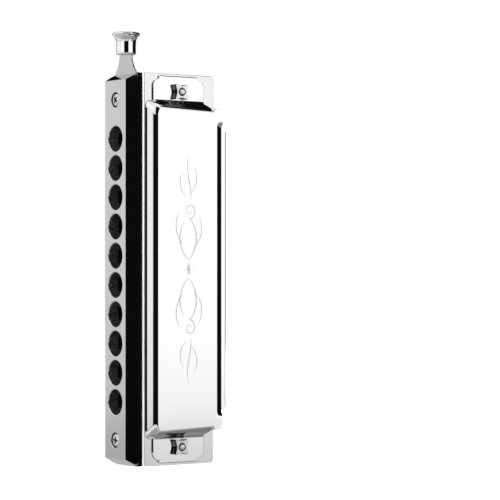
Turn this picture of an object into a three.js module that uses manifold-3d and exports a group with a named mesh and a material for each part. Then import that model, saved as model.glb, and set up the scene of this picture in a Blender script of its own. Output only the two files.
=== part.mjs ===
// Ten-hole slide chromatic harmonica, standing on its low-note end.
// Millimetres. +Z runs along the instrument towards the slide button, -Y faces the player
// (the blow holes), +Y is the open back, -X carries the top cover and +X the bottom cover.
import * as THREE from "three";
import { mergeVertices } from "three/addons/utils/BufferGeometryUtils.js";
import Module from "manifold-3d";

const wasm = await Module();
wasm.setup();

// ---------- driving dimensions ----------
const BODY_LENGTH = 122; // comb, reed plates and mouthpiece
const PLATE_FACE = 7.0; // outer faces of the two reed plates, from the middle plane
const PLATE_INNER = 5.83;
const COMB_HALF = 5.8;
const BODY_DEPTH = 26.1; // front edge to back edge of the reed plates
const NOSE = -1.45; // front of the comb's nose
const CORNER_R = 1.0; // back corners of the reed plates

const HOLES = 10;
const PITCH = 9.08; // blow holes
const HOLE_R = 3.9;
const HOLE_RIM_R = 4.22; // widened mouth of each blow hole
const ROW_MIDDLE = 60.65; // height of the middle of the hole row
const FIRST_HOLE = ROW_MIDDLE - (PITCH * (HOLES - 1)) / 2;

const PORT_IN = 1.15; // air ports: nearest and farthest edge from the middle plane
const PORT_OUT = 5.0;
const PORT_HALF = 2.1; // half height of a port
const CHAMBER_HALF = 3.95;
const CHAMBER_FLOOR = 1.0; // half thickness of the comb's middle web
const CHAMBER_FRONT = 1.8;
const CHAMBER_BACK = 24.0;

const BACK_PLATE_Y = [-1.92, -1.5];
const SLIDE_Y = [-2.52, -1.97];
const SLIDE_HALF = 6.3;
const SLIDE_END = 5.6; // low end of the slide at rest
const SLIDE_TRAVEL = PITCH / 2;

const MOUTH_BACK = -1.97;
const CHANNEL_FLOOR = -2.6;
const MOUTH_FRONT = -6.24;
const MOUTH_HALF_BACK = 6.8;
const MOUTH_HALF_FRONT = 5.94;
const CHANNEL_HALF = 6.42;
const END_SLOPE = 2.3; // the mouthpiece's ends fall this much from back to front

const COVER_SHEET = 0.5;
const FOOT = 0.03; // air between stacked pieces
const TAB_TOP = COVER_SHEET + FOOT;
const COVER_SCREW_Y = 12.7;
const COVER_SCREW_Z = [5.6, 116.4];
const MOUTH_SCREW_Z = [8.0, 113.6];
const COVER_SHAFT_R = 0.85;
const MOUTH_SHAFT_R = 0.8;
const SCREW_HOLE_R = 1.2;

const KNOB_Y = -2.245;
const KNOB = [
  [0, 127.8], [2.7, 127.8], [3.06, 128.15], [3.08, 131.2], [3.2, 132.2],
  [3.55, 133.15], [4.25, 133.9], [4.38, 134.2], [4.3, 134.55], [4.0, 134.7], [0, 134.7],
];

const SPRING_X = 3.45;
const SPRING_Y = 0.75;
const SPRING_R = 1.05;
const SPRING_WIRE_R = 0.2;
const SPRING_Z = [3.3, 12.3];
const SPRING_TURNS = 6;

// ---------- materials ----------
const chrome = (name, shade = 0.82, rough = 0.08) =>
  new THREE.MeshStandardMaterial({ name, color: new THREE.Color(shade, shade, shade * 1.01), roughness: rough, metalness: 1 });
const blackPlastic = () => new THREE.MeshStandardMaterial({ name: "comb_plastic", color: 0x232427, roughness: 0.42, metalness: 0 });
const brass = () => new THREE.MeshStandardMaterial({ name: "reed_brass", color: 0xb9924a, roughness: 0.3, metalness: 1 });
const springSteel = () => new THREE.MeshStandardMaterial({ name: "spring_steel", color: 0x9a9ca0, roughness: 0.3, metalness: 1 });

// ---------- joining and cutting ----------
function solid(geometry) {
  const bare = geometry.clone();
  bare.deleteAttribute("normal");
  bare.deleteAttribute("uv");
  const merged = mergeVertices(bare, 1e-4);
  return new wasm.Manifold(
    new wasm.Mesh({
      numProp: 3,
      vertProperties: new Float32Array(merged.attributes.position.array),
      triVerts: new Uint32Array(merged.index.array),
    }),
  );
}
function geometryOf(made) {
  const m = made.getMesh();
  const geometry = new THREE.BufferGeometry();
  geometry.setAttribute("position", new THREE.BufferAttribute(new Float32Array(m.vertProperties), 3));
  geometry.setIndex(new THREE.BufferAttribute(new Uint32Array(m.triVerts), 1));
  geometry.computeVertexNormals();
  return geometry;
}
const cutAll = (body, tools) => tools.reduce((made, tool) => made.subtract(tool), body);

function block(x0, x1, y0, y1, z0, z1) {
  const g = new THREE.BoxGeometry(Math.abs(x1 - x0), Math.abs(y1 - y0), Math.abs(z1 - z0));
  g.translate((x0 + x1) / 2, (y0 + y1) / 2, (z0 + z1) / 2);
  return g;
}
// A round rod along X, Y or Z between two stations.
function rod(axis, radius, from, to, u, v, sides = 12) {
  const g = new THREE.CylinderGeometry(radius, radius, Math.abs(to - from), sides);
  const mid = (from + to) / 2;
  if (axis === "x") g.rotateZ(-Math.PI / 2).translate(mid, u, v);
  else if (axis === "y") g.translate(u, mid, v);
  else g.rotateX(Math.PI / 2).translate(u, v, mid);
  return g;
}
// An outline drawn in (u, v) and drawn out along the third axis.
function plate(outline, from, to, plane) {
  const shape = new THREE.Shape(outline.map(([u, v]) => new THREE.Vector2(u, v)));
  const g = new THREE.ExtrudeGeometry(shape, { depth: to - from, bevelEnabled: false });
  const p = g.attributes.position;
  for (let i = 0; i < p.count; i++) {
    const u = p.getX(i), v = p.getY(i), w = p.getZ(i) + from;
    if (plane === "yz") p.setXYZ(i, w, u, v); // (y, z) outline along x
    else if (plane === "xz") p.setXYZ(i, u, -w, v); // (x, z) outline along -y
    else p.setXYZ(i, u, v, w); // (x, y) outline along z
  }
  return g;
}
function arc(cu, cv, r, a0, a1, steps) {
  return Array.from({ length: steps + 1 }, (_, i) => {
    const a = a0 + ((a1 - a0) * i) / steps;
    return [cu + r * Math.cos(a), cv + r * Math.sin(a)];
  });
}

const harmonica = new THREE.Group();
harmonica.name = "slide_chromatic_harmonica";
const assembly = new THREE.Group();
harmonica.add(assembly);
function place(name, geometry, material) {
  const mesh = new THREE.Mesh(geometry, material);
  mesh.name = name;
  assembly.add(mesh);
  return mesh;
}
const holeZ = (k) => FIRST_HOLE + PITCH * k;
const SIDES = [["top", -1], ["bottom", 1]];

// ---------- comb ----------
{
  const cuts = [];
  for (let k = 0; k < HOLES; k++)
    for (const [, s] of SIDES) {
      const z = holeZ(k);
      cuts.push(solid(block(s * CHAMBER_FLOOR, s * (COMB_HALF + 1), CHAMBER_FRONT, CHAMBER_BACK, z - CHAMBER_HALF, z + CHAMBER_HALF)));
      cuts.push(solid(block(s * PORT_IN, s * PORT_OUT, NOSE - 1, CHAMBER_FRONT + 0.5, z - PORT_HALF, z + PORT_HALF)));
    }
  for (const z of COVER_SCREW_Z) cuts.push(solid(rod("x", SCREW_HOLE_R, -8, 8, COVER_SCREW_Y, z)));
  for (const z of MOUTH_SCREW_Z) cuts.push(solid(rod("y", SCREW_HOLE_R, NOSE - 1, 6.2, 0, z)));
  cuts.push(solid(block(SPRING_X - 1.6, SPRING_X + 1.6, NOSE - 1, SPRING_Y + 1.75, 2.9, 13.7)));
  place("comb", geometryOf(cutAll(solid(block(-COMB_HALF, COMB_HALF, NOSE, BODY_DEPTH, 0, BODY_LENGTH)), cuts)), blackPlastic());
}

// ---------- reed plates and reeds ----------
// The outer (draw) reeds are riveted near the mouthpiece, the inner (blow) reeds near the back.
const reedLength = (i) => 16.4 - (7.2 * i) / (2 * HOLES - 1);
const DRAW_ROOT = 5.9, BLOW_ROOT = 20.9, REED_OFFSET = PITCH / 4;
for (const [side, s] of SIDES) {
  const outline = [
    [0, 0],
    ...arc(BODY_DEPTH - CORNER_R, CORNER_R, CORNER_R, -Math.PI / 2, 0, 4),
    ...arc(BODY_DEPTH - CORNER_R, BODY_LENGTH - CORNER_R, CORNER_R, 0, Math.PI / 2, 4),
    [0, BODY_LENGTH],
  ];
  const body = solid(s > 0 ? plate(outline, PLATE_INNER, PLATE_FACE, "yz") : plate(outline, -PLATE_FACE, -PLATE_INNER, "yz"));
  const cuts = [];
  for (let k = 0; k < HOLES; k++) {
    const blow = reedLength(2 * k), draw = reedLength(2 * k + 1);
    const zb = holeZ(k) + REED_OFFSET, zd = holeZ(k) - REED_OFFSET;
    cuts.push(solid(block(s * 5, s * 8, BLOW_ROOT - blow - 0.2, BLOW_ROOT, zb - 1.15, zb + 1.15)));
    cuts.push(solid(block(s * 5, s * 8, DRAW_ROOT, DRAW_ROOT + draw + 0.2, zd - 1.15, zd + 1.15)));
    // each reed: a thin tongue over its slot and a thicker riveted root
    const inner = solid(block(s * (PLATE_INNER - 0.03), s * (PLATE_INNER - 0.5), BLOW_ROOT + 0.2, BLOW_ROOT + 2.9, zb - 1.4, zb + 1.4))
      .add(solid(block(s * (PLATE_INNER - 0.05), s * (PLATE_INNER - 0.2), BLOW_ROOT - blow, BLOW_ROOT + 0.5, zb - 1, zb + 1)));
    place(`${side}_blow_reed_${k + 1}`, geometryOf(inner), brass());
    const outer = solid(block(s * (PLATE_FACE + 0.03), s * (PLATE_FACE + 0.5), DRAW_ROOT - 2.9, DRAW_ROOT - 0.2, zd - 1.4, zd + 1.4))
      .add(solid(block(s * (PLATE_FACE + 0.05), s * (PLATE_FACE + 0.2), DRAW_ROOT - 0.5, DRAW_ROOT + draw, zd - 1, zd + 1)));
    place(`${side}_draw_reed_${k + 1}`, geometryOf(outer), brass());
  }
  for (const z of COVER_SCREW_Z) cuts.push(solid(rod("x", SCREW_HOLE_R, -8, 8, COVER_SCREW_Y, z)));
  place(`${side}_reed_plate`, geometryOf(cutAll(body, cuts)), chrome("reed_plate", 0.8, 0.12));
}

// ---------- mouthpiece ----------
{
  const section = [
    [-MOUTH_HALF_BACK, MOUTH_BACK], [-CHANNEL_HALF, MOUTH_BACK], [-CHANNEL_HALF, CHANNEL_FLOOR],
    [CHANNEL_HALF, CHANNEL_FLOOR], [CHANNEL_HALF, MOUTH_BACK], [MOUTH_HALF_BACK, MOUTH_BACK],
    [MOUTH_HALF_FRONT + 0.04, MOUTH_FRONT + 0.35], [MOUTH_HALF_FRONT - 0.3, MOUTH_FRONT],
    [-MOUTH_HALF_FRONT + 0.3, MOUTH_FRONT], [-MOUTH_HALF_FRONT - 0.04, MOUTH_FRONT + 0.35],
  ].reverse();
  let body = solid(plate(section, 0, BODY_LENGTH, "xy"));
  // closed low end of the slide's channel
  body = body.add(solid(block(-CHANNEL_HALF - 0.1, CHANNEL_HALF + 0.1, CHANNEL_FLOOR - 0.1, MOUTH_BACK, 0, 0.75)));
  // sloping ends and eased side edges
  const deep = MOUTH_BACK - MOUTH_FRONT, over = 2;
  for (const end of [0, 1]) {
    const at = (d) => (end ? BODY_LENGTH - d : d);
    const wedge = [
      [MOUTH_BACK, at(0)], [MOUTH_FRONT - over, at(END_SLOPE * (1 + over / deep))],
      [MOUTH_FRONT - over, at(-over)], [MOUTH_BACK, at(-over)],
    ];
    if (end) wedge.reverse();
    body = body.subtract(solid(plate(wedge, -9, 9, "yz")));
    for (const s of [-1, 1]) {
      const ease = [[s * 9, at(3.2)], [s * 9, at(-1)], [s * 4.8, at(-1)]];
      if ((s > 0) === (end === 0)) ease.reverse();
      body = body.subtract(solid(plate(ease, 1.6, 8, "xz")));
    }
  }
  const cuts = [];
  for (let k = 0; k < HOLES; k++) {
    const bore = [
      [0, MOUTH_FRONT - 0.4], [HOLE_RIM_R + 0.4, MOUTH_FRONT - 0.4], [HOLE_RIM_R, MOUTH_FRONT],
      [HOLE_R, MOUTH_FRONT + 0.45], [HOLE_R, CHANNEL_FLOOR + 0.4], [0, CHANNEL_FLOOR + 0.4],
    ].map(([r, y]) => new THREE.Vector2(r, y));
    cuts.push(solid(new THREE.LatheGeometry(bore, 18).translate(0, 0, holeZ(k))));
  }
  for (const z of MOUTH_SCREW_Z) {
    cuts.push(solid(rod("y", SCREW_HOLE_R, MOUTH_FRONT - 1, 0, 0, z)));
    cuts.push(solid(rod("y", 2.4, MOUTH_FRONT - 1, MOUTH_FRONT + 0.95, 0, z, 16)));
  }
  place("mouthpiece", geometryOf(cutAll(body, cuts)), chrome("mouthpiece_chrome", 0.8, 0.1));
}

// ---------- slide back plate ----------
{
  const cuts = [];
  for (let k = 0; k < HOLES; k++)
    for (const [, s] of SIDES)
      cuts.push(solid(block(s * PORT_IN, s * PORT_OUT, -4, 0, holeZ(k) - PORT_HALF, holeZ(k) + PORT_HALF)));
  for (const z of MOUTH_SCREW_Z) cuts.push(solid(rod("y", SCREW_HOLE_R, -4, 0, 0, z)));
  cuts.push(solid(block(SPRING_X - 1.6, SPRING_X + 1.6, -4, 0, 2.9, 13.7)));
  place("slide_back_plate", geometryOf(cutAll(solid(block(-5.6, 5.6, BACK_PLATE_Y[0], BACK_PLATE_Y[1], 0.4, 121.2)), cuts)), chrome("slide_plate", 0.7, 0.2));
}

// ---------- slide: one ported strip with a waisted neck, a tang for the button and a spring lug ----------
{
  const half = [
    [SLIDE_HALF, SLIDE_END], [SLIDE_HALF, 121.7], [5.5, 122.5], [4.75, 123.6],
    [4.1, 124.9], [3.62, 126.3], [3.36, 127.6], [1.5, 127.6], [1.5, 130.4],
  ];
  const outline = [...half, ...half.slice().reverse().map(([x, z]) => [-x, z])];
  let body = solid(plate(outline, -SLIDE_Y[1], -SLIDE_Y[0], "xz"));
  const cuts = [];
  for (let k = 0; k < HOLES; k++) {
    cuts.push(solid(block(-PORT_OUT, -PORT_IN, -4, 0, holeZ(k) - PORT_HALF, holeZ(k) + PORT_HALF)));
    cuts.push(solid(block(PORT_IN, PORT_OUT, -4, 0, holeZ(k) + SLIDE_TRAVEL - PORT_HALF, holeZ(k) + SLIDE_TRAVEL + PORT_HALF)));
  }
  for (const z of MOUTH_SCREW_Z)
    cuts.push(solid(block(-1.15, 1.15, -4, 0, z - 1.2, z + SLIDE_TRAVEL + 1.2)));
  body = cutAll(body, cuts);
  body = body.add(solid(block(SPRING_X - 1.2, SPRING_X + 1.2, SLIDE_Y[0] + 0.1, SPRING_Y + 1.3, SPRING_Z[1] + 0.35, SPRING_Z[1] + 0.9)));
  place("slide", geometryOf(body), chrome("slide_steel", 0.72, 0.18));
}

// ---------- slide button ----------
{
  const turned = new THREE.LatheGeometry(KNOB.map(([r, z]) => new THREE.Vector2(r, z)), 28);
  turned.rotateX(Math.PI / 2).translate(0, KNOB_Y, 0);
  const made = solid(turned).subtract(solid(block(-1.8, 1.8, KNOB_Y - 0.58, KNOB_Y + 0.58, 127, 130.8)));
  place("slide_button", geometryOf(made), chrome("button_chrome", 0.85, 0.06));
}

// ---------- return spring, in its pocket in the comb ----------
{
  class Helix extends THREE.Curve {
    getPoint(t, target = new THREE.Vector3()) {
      const a = 2 * Math.PI * SPRING_TURNS * t;
      return target.set(
        SPRING_X + SPRING_R * Math.cos(a),
        SPRING_Y + SPRING_R * Math.sin(a),
        SPRING_Z[0] + (SPRING_Z[1] - SPRING_Z[0]) * t,
      );
    }
  }
  const wire = new THREE.Shape(arc(0, 0, SPRING_WIRE_R, 0, 2 * Math.PI, 5).slice(0, 5).map(([x, y]) => new THREE.Vector2(x, y)));
  place("slide_spring", new THREE.ExtrudeGeometry(wire, { steps: SPRING_TURNS * 9, extrudePath: new Helix(), bevelEnabled: false }), springSteel());
}

// ---------- covers: one pressed sheet each, with screw tabs at both ends and a rolled back lip ----------
const smin = (a, b, k) => {
  const h = Math.max(k - Math.abs(a - b), 0) / k;
  return Math.min(a, b) - (h * h * k) / 4;
};
const ramp = (a, b, x) => {
  const t = Math.min(Math.max((x - a) / (b - a), 0), 1);
  return t * t * (3 - 2 * t);
};
const FRONT_FOOT = 0.5; // where the cover's front wall meets the reed plate
// Height of the cover's outer face over the reed plate; w is the distance from the nearer end of the body.
const kink = (x) => (x < -0.2 ? 0 : x > 0.2 ? x : ((x + 0.2) * (x + 0.2)) / 0.8);
const lipDrop = (y) => (1.05 * (kink(y - 23.3) - kink(y - 25.5))) / 2.2 + 0.4 * ramp(26.6, 27.8, y);
function coverHeight(y, w) {
  const top = 3.38 + 0.1296 * (y - 2.95) - ramp(14.6, 16.6, w) * lipDrop(y);
  const front = 1.945 * (y - FRONT_FOOT);
  const end = 2.6 * (w - 8.6);
  const corner = 0.2 + 0.62 * (y - 0.6) + 0.42 * (w - 9.9);
  const shell = smin(top, front, 1.3);
  return smin(smin(shell, corner, 0.6), end, 0.5 + 2.7 * ramp(0.8, 3.4, shell));
}
const BACK_EDGE = [[8.6, 22.4], [9.0, 23.0], [9.6, 23.9], [10.4, 24.6], [11.6, 25.05], [14.2, 25.35], [16.6, 25.5], [17.3, 26.5], [18.0, 27.1], [61, 27.2]];
function backEdge(w) {
  for (let i = 1; i < BACK_EDGE.length; i++)
    if (w <= BACK_EDGE[i][0]) {
      const [w0, y0] = BACK_EDGE[i - 1], [w1, y1] = BACK_EDGE[i];
      return y0 + ((y1 - y0) * (w - w0)) / (w1 - w0);
    }
  return BACK_EDGE[BACK_EDGE.length - 1][1];
}
const COLUMNS = 13;
function coverRow(w) {
  const back = backEdge(w), front = Math.max(FRONT_FOOT, 0.277 + 0.677 * (9.9 - w));
  const lead = [0, 0.5, 1.0, 1.6, 2.5].map((d) => front + d);
  const tail = w > 16.5 ? [23.2, 24.3, 25.6, back] : [back - 3.6, back - 2.2, back - 1.0, back];
  const span = tail[0] - lead[4];
  const middle = [1, 2, 3, 4].map((i) => lead[4] + (span * i) / 5);
  return [...lead, ...middle, ...tail].map((y, i) => {
    const dh = 0.01;
    const h = coverHeight(y, w);
    const slopeY = (coverHeight(y + dh, w) - coverHeight(y - dh, w)) / (2 * dh);
    const slopeW = (coverHeight(y, w + dh) - coverHeight(y, w - dh)) / (2 * dh);
    const n = 1 / Math.hypot(1, slopeY, slopeW);
    const edge = i === 0;
    const outer = [y, w, edge ? FOOT : Math.max(h, TAB_TOP)];
    const inner = edge
      ? [y + 0.5, w + (w < 12 ? 0.25 : 0), FOOT]
      : [y + slopeY * n * COVER_SHEET, w + slopeW * n * COVER_SHEET, Math.max(h - n * COVER_SHEET, FOOT)];
    return { outer, inner };
  });
}
function tabRow(w, y0, y1) {
  return Array.from({ length: COLUMNS }, (_, i) => {
    const y = y0 + ((y1 - y0) * i) / (COLUMNS - 1);
    return { outer: [y, w, TAB_TOP], inner: [y, w, FOOT] };
  });
}
function coverHalf() {
  const rows = [
    tabRow(0.7, 6.1, 18.6), tabRow(0.9, 5.3, 19.4), tabRow(1.5, 5.1, 19.6), tabRow(1.7, 4.5, 20.3),
    tabRow(2.2, 3.5, 21.4), tabRow(3.0, 2.98, 22.0), tabRow(4.0, 2.9, 22.1), tabRow(8.45, 2.9, 22.1),
  ];
  for (const w of [8.85, 9.25, 9.7, 10.3, 11.0, 12.2, 14.4, 16.2, 17.2, 18.2]) rows.push(coverRow(w));
  return rows;
}
function cover(s) {
  const low = coverHalf();
  const high = coverHalf().reverse().map((row) => row.map(({ outer, inner }) => ({
    outer: [outer[0], BODY_LENGTH - outer[1], outer[2]],
    inner: [inner[0], BODY_LENGTH - inner[1], inner[2]],
  })));
  const rows = [...low, ...high], R = rows.length, C = COLUMNS;
  const position = [], index = [];
  for (const face of ["outer", "inner"])
    for (const row of rows) for (const p of row) position.push(s * (PLATE_FACE + p[face][2]), p[face][0], p[face][1]);
  const at = (r, c, f) => f * R * C + r * C + c;
  const quad = (a, b, c, d) => (s > 0 ? index.push(a, b, c, a, c, d) : index.push(a, c, b, a, d, c));
  for (let r = 0; r + 1 < R; r++)
    for (let c = 0; c + 1 < C; c++) {
      quad(at(r, c, 0), at(r, c + 1, 0), at(r + 1, c + 1, 0), at(r + 1, c, 0));
      quad(at(r, c, 1), at(r + 1, c, 1), at(r + 1, c + 1, 1), at(r, c + 1, 1));
    }
  for (let r = 0; r + 1 < R; r++) {
    quad(at(r, 0, 0), at(r + 1, 0, 0), at(r + 1, 0, 1), at(r, 0, 1));
    quad(at(r, C - 1, 0), at(r, C - 1, 1), at(r + 1, C - 1, 1), at(r + 1, C - 1, 0));
  }
  for (let c = 0; c + 1 < C; c++) {
    quad(at(0, c, 0), at(0, c, 1), at(0, c + 1, 1), at(0, c + 1, 0));
    quad(at(R - 1, c, 0), at(R - 1, c + 1, 0), at(R - 1, c + 1, 1), at(R - 1, c, 1));
  }
  const g = new THREE.BufferGeometry();
  g.setAttribute("position", new THREE.BufferAttribute(new Float32Array(position), 3));
  g.setIndex(index);
  let body = solid(g);
  for (const z of COVER_SCREW_Z) body = body.subtract(solid(rod("x", SCREW_HOLE_R, -9, 9, COVER_SCREW_Y, z)));
  return geometryOf(body);
}
for (const [side, s] of SIDES) place(`${side}_cover`, cover(s), chrome("cover_chrome", 0.9, 0.06));

// ---------- cover screws and their square nuts ----------
const NUT_X = [PLATE_FACE + TAB_TOP + 0.03, PLATE_FACE + TAB_TOP + 1.7];
["lower", "upper"].forEach((where, i) => {
  const z = COVER_SCREW_Z[i];
  const seat = PLATE_FACE + TAB_TOP + 0.03;
  const profile = [
    [0, -seat - 1.25], [0.9, -seat - 1.2], [1.6, -seat - 0.98], [2.02, -seat - 0.6], [2.1, -seat - 0.3], [2.1, -seat],
    [COVER_SHAFT_R, -seat], [COVER_SHAFT_R, NUT_X[1] + 0.25], [COVER_SHAFT_R - 0.25, NUT_X[1] + 0.5], [0, NUT_X[1] + 0.5],
  ].map(([r, a]) => new THREE.Vector2(r, a));
  const turned = new THREE.LatheGeometry(profile, 16).rotateZ(-Math.PI / 2).translate(0, COVER_SCREW_Y, z);
  const cross = [block(-seat - 2, -seat - 0.7, COVER_SCREW_Y - 1.2, COVER_SCREW_Y + 1.2, z - 0.26, z + 0.26),
    block(-seat - 2, -seat - 0.7, COVER_SCREW_Y - 0.26, COVER_SCREW_Y + 0.26, z - 1.2, z + 1.2)];
  place(`cover_screw_${where}`, geometryOf(cutAll(solid(turned), cross.map(solid))), chrome("screw_steel", 0.75, 0.15));

  const a = 2.4, b = 1.85; // corner reach along each side, and the waist of the hollowed sides
  const ring = [];
  for (let q = 0; q < 4; q++) {
    const turn = (q * Math.PI) / 2;
    for (const [u, v] of [[a - 0.35, -a], [a, -a + 0.35], [b + 0.12, -0.9], [b, 0], [b + 0.12, 0.9], [a, a - 0.35]])
      ring.push([COVER_SCREW_Y + u * Math.cos(turn) - v * Math.sin(turn), z + u * Math.sin(turn) + v * Math.cos(turn)]);
  }
  const nut = solid(plate(ring, NUT_X[0], NUT_X[1], "yz")).subtract(solid(rod("x", 1.0, 0, 12, COVER_SCREW_Y, z, 16)));
  place(`cover_nut_${where}`, geometryOf(nut), chrome("screw_steel", 0.75, 0.15));
});

// ---------- mouthpiece screws ----------
["lower", "upper"].forEach((where, i) => {
  const z = MOUTH_SCREW_Z[i];
  const face = MOUTH_FRONT + 0.08;
  const profile = [
    [0, face], [1.3, face + 0.02], [1.9, face + 0.2], [2.1, face + 0.42], [2.1, face + 0.8],
    [MOUTH_SHAFT_R, face + 0.82], [MOUTH_SHAFT_R, 5.2], [0.35, 5.7], [0, 5.7],
  ].map(([r, y]) => new THREE.Vector2(r, y));
  const turned = new THREE.LatheGeometry(profile, 16).translate(0, 0, z);
  const cross = [block(-1.25, 1.25, face - 1, face + 0.45, z - 0.28, z + 0.28), block(-0.28, 0.28, face - 1, face + 0.45, z - 1.25, z + 1.25)];
  place(`mouthpiece_screw_${where}`, geometryOf(cutAll(solid(turned), cross.map(solid))), chrome("screw_steel", 0.75, 0.15));
});

// ---------- origin: middle of the footprint, on the surface the instrument stands on ----------
const bounds = new THREE.Box3().setFromObject(assembly);
assembly.position.set(
  -(bounds.min.x + bounds.max.x) / 2,
  -(bounds.min.y + bounds.max.y) / 2,
  -bounds.min.z,
);

export default harmonica;
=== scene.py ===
import math
import random

import bmesh
import bpy
import numpy as np
from mathutils import Matrix, Vector
from mathutils.kdtree import KDTree


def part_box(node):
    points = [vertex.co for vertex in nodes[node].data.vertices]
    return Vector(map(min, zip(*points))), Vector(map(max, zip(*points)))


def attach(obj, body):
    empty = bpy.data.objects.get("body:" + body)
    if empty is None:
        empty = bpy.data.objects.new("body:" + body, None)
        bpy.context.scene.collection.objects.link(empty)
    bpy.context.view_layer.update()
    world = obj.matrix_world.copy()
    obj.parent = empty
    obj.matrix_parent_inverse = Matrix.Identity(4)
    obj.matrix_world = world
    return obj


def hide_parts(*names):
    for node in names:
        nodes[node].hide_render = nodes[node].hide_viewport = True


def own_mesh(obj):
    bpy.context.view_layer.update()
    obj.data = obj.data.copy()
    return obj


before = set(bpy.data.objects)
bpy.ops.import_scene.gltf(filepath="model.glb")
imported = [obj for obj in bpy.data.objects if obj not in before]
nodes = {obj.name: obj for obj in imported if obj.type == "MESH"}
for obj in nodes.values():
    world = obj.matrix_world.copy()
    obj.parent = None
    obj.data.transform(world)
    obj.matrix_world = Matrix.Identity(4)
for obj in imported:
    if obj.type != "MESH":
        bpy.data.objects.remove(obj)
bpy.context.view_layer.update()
BODY, SLIDE = "body", "slide_assembly"
random.seed(7)

# Lengths below are millimetres with y = 0 at the reed plates' front edge; OFF moves them to the row frame.
MM = 0.001
plate_lo, plate_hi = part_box("top_reed_plate")
OFF = plate_lo.y / MM


def P(x, y, z):
    return (x * MM, (y + OFF) * MM, z * MM)


# ------------------------------------------------------------------ dimensions shared with the CAD
L = 122.0
FACE, INNER, COMB_HALF = 7.0, 5.83, 5.8
DEPTH = 26.1
HOLES, PITCH = 10, 9.08
HOLE_R, ROW = 3.9, 60.65
HOLE_Z = [ROW - PITCH * 4.5 + PITCH * k for k in range(HOLES)]
PORT_IN, PORT_OUT, PORT_HALF = 1.15, 5.0, 2.1
MOUTH_BACK, CHANNEL_FLOOR, MOUTH_FRONT = -1.97, -2.6, -6.24
HALF_BACK, HALF_FRONT, CHANNEL_HALF = 6.8, 5.94, 6.42
SLIDE_Y = (-2.52, -1.97)
SHEET, FOOT = 0.5, 0.03
TAB = SHEET + FOOT
SCREW_Y, SCREW_Z = 12.7, (5.6, 116.4)
MOUTH_SCREW_Z = (8.0, 113.6)
KNOB_Y = -2.245
DRAW_ROOT, BLOW_ROOT, REED_OFF = 5.9, 20.9, PITCH / 4


def reed_length(i):
    return 16.4 - 7.2 * i / (2 * HOLES - 1)


# ------------------------------------------------------------------ small tools
def link(obj):
    bpy.context.scene.collection.objects.link(obj)
    return obj


def mesh_object(name, verts, faces):
    me = bpy.data.meshes.new(name)
    me.from_pydata([tuple(v) for v in verts], [], [tuple(f) for f in faces])
    me.validate()
    return link(bpy.data.objects.new(name, me))


def baked(obj):
    """The object with its modifiers written into its mesh."""
    bpy.context.view_layer.update()
    dg = bpy.context.evaluated_depsgraph_get()
    me = bpy.data.meshes.new_from_object(obj.evaluated_get(dg))
    old = obj.data
    obj.modifiers.clear()
    obj.data = me
    if old.users == 0:
        bpy.data.meshes.remove(old)
    return obj


def boolean(obj, cutters, op="DIFFERENCE"):
    for cutter in cutters:
        m = obj.modifiers.new("cut", "BOOLEAN")
        m.operation, m.solver, m.object = op, "EXACT", cutter
    baked(obj)
    for cutter in cutters:
        bpy.data.objects.remove(cutter)
    return obj


def joined(name, parts):
    """Several separate closed shapes as one mesh."""
    bm = bmesh.new()
    for o in parts:
        o.data.transform(o.matrix_world)
        bm.from_mesh(o.data)
        bpy.data.objects.remove(o)
    me = bpy.data.meshes.new(name)
    bm.to_mesh(me)
    bm.free()
    return link(bpy.data.objects.new(name, me))


def shade(obj, angle=32, weighted=True):
    """Smooth faces, edges sharper than the angle kept sharp, and flat faces kept flat."""
    bm = bmesh.new()
    bm.from_mesh(obj.data)
    bmesh.ops.remove_doubles(bm, verts=bm.verts, dist=1e-7)
    bmesh.ops.recalc_face_normals(bm, faces=bm.faces)
    limit = math.radians(angle)
    for f in bm.faces:
        f.smooth = True
    for e in bm.edges:
        if len(e.link_faces) == 2:
            e.smooth = e.calc_face_angle(0) < limit
    bm.to_mesh(obj.data)
    bm.free()
    if weighted:
        m = obj.modifiers.new("weighted", "WEIGHTED_NORMAL")
        m.keep_sharp, m.weight, m.mode = True, 100, "FACE_AREA"
    return obj


def bevel(obj, width, segments=2, angle=30):
    m = obj.modifiers.new("bevel", "BEVEL")
    m.width, m.segments, m.limit_method = width * MM, segments, "ANGLE"
    m.angle_limit = math.radians(angle)
    m.use_clamp_overlap = True
    m.harden_normals = False
    return obj


def prism(name, outline, lo, hi, plane):
    """An outline drawn out: plane 'xy' along z, 'yz' along x, 'xz' along y."""
    n = len(outline)
    put = {"xy": lambda u, v, w: P(u, v, w), "yz": lambda u, v, w: P(w, u, v), "xz": lambda u, v, w: P(u, w, v)}[plane]
    verts = [put(u, v, lo) for u, v in outline] + [put(u, v, hi) for u, v in outline]
    faces = [tuple(range(n)), tuple(range(2 * n - 1, n - 1, -1))]
    faces += [(i, i + n, (i + 1) % n + n, (i + 1) % n) for i in range(n)]
    obj = mesh_object(name, verts, faces)
    bm = bmesh.new()
    bm.from_mesh(obj.data)
    bmesh.ops.recalc_face_normals(bm, faces=bm.faces)
    bm.to_mesh(obj.data)
    bm.free()
    return obj


def block(name, x0, x1, y0, y1, z0, z1):
    x0, x1 = sorted((x0, x1))
    return prism(name, [(x0, y0), (x1, y0), (x1, y1), (x0, y1)], z0, z1, "xy")


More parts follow.
